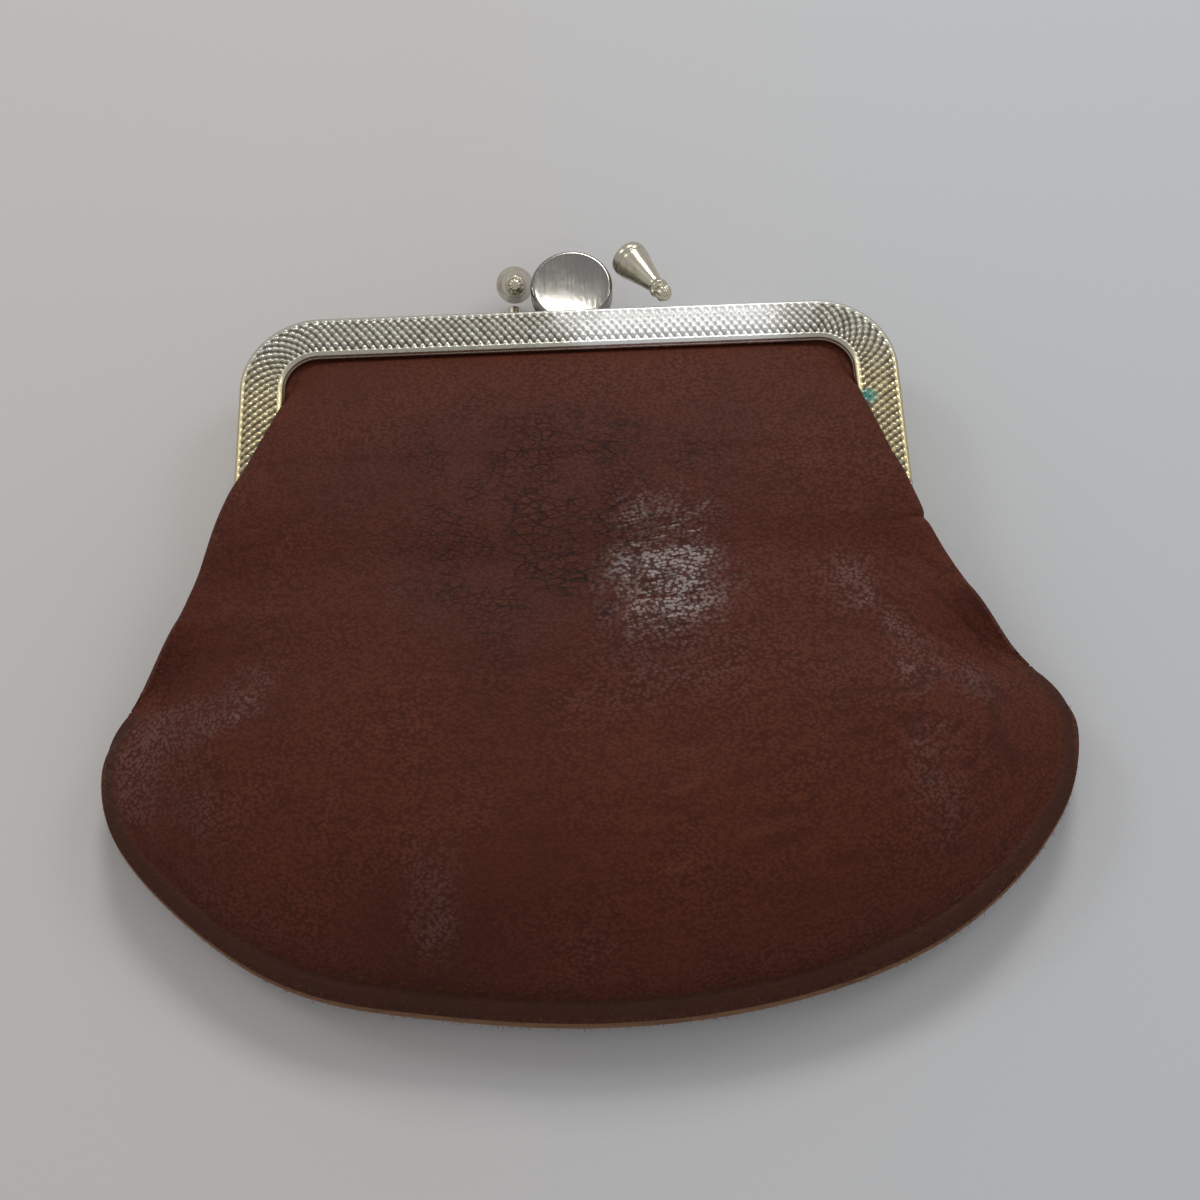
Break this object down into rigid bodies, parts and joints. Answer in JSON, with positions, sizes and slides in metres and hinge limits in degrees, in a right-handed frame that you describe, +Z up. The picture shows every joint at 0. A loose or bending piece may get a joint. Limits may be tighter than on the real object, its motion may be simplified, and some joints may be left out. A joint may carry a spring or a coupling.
{
  "type": "kiss lock coin purse",
  "caption": "Rounded leather coin purse with divided compartments, nested hinged metal frames with a knurled face, and kiss lock knobs.",
  "frame": {"origin": "on the resting plane, straight under the middle of the hinge axis; a point of the rear panel's flat back", "axes": "+X along the hinge, +Y from the hinge to the lock knobs, +Z up through the front of the purse as it lies on its back"},
  "size_m": [0.1226, 0.1058, 0.02],
  "materials": {
    "plated_frame": "plated, knurled on the front face, worn at the legs",
    "disc_metal": "plated, satin",
    "cone_metal": "plated, brass showing through at the tips",
    "leather": "dark red brown grain leather, semi-gloss, creased",
    "divider_leather": "thin dark leather, matt",
    "lining": "tan woven lining",
    "paper_cord": "twisted paper cord"
  },
  "bodies": {
    "rear_half": {"rear_frame": "plated_frame", "hinge_rivet_left": "plated_frame", "hinge_rivet_right": "plated_frame", "rear_lock_knob": "cone_metal", "rear_lock_post": "cone_metal", "rear_paper_cord": "paper_cord", "rear_panel": "leather", "rear_lining": "lining", "front_panel_lower": "leather", "front_panel_throat": "leather", "front_lining_lower": "lining", "divider_lower": "divider_leather", "front_gusset_left": "divider_leather", "front_gusset_right": "divider_leather", "rear_gusset_left": "divider_leather", "rear_gusset_right": "divider_leather"},
    "middle_half": {"middle_frame": "plated_frame", "disc_lock_knob": "disc_metal", "middle_paper_cord": "paper_cord", "divider_upper": "divider_leather"},
    "front_half": {"front_frame": "plated_frame", "front_lock_knob": "cone_metal", "front_paper_cord": "paper_cord", "front_panel_upper": "leather", "front_lining_upper": "lining"}
  },
  "joints": [
    {"name": "rear_open", "type": "hinge", "parent": "rear_half", "child": "middle_half", "pos_m": [0, 0, 0.0076], "axis": [1, 0, 0], "range_deg": [0, 50], "deforming": ["front_panel_throat", "front_gusset_left", "front_gusset_right", "rear_gusset_left", "rear_gusset_right"]},
    {"name": "front_open", "type": "hinge", "parent": "middle_half", "child": "front_half", "pos_m": [0, 0, 0.0076], "axis": [1, 0, 0], "range_deg": [0, 60], "deforming": ["front_panel_throat", "front_gusset_left", "front_gusset_right"]}
  ]
}
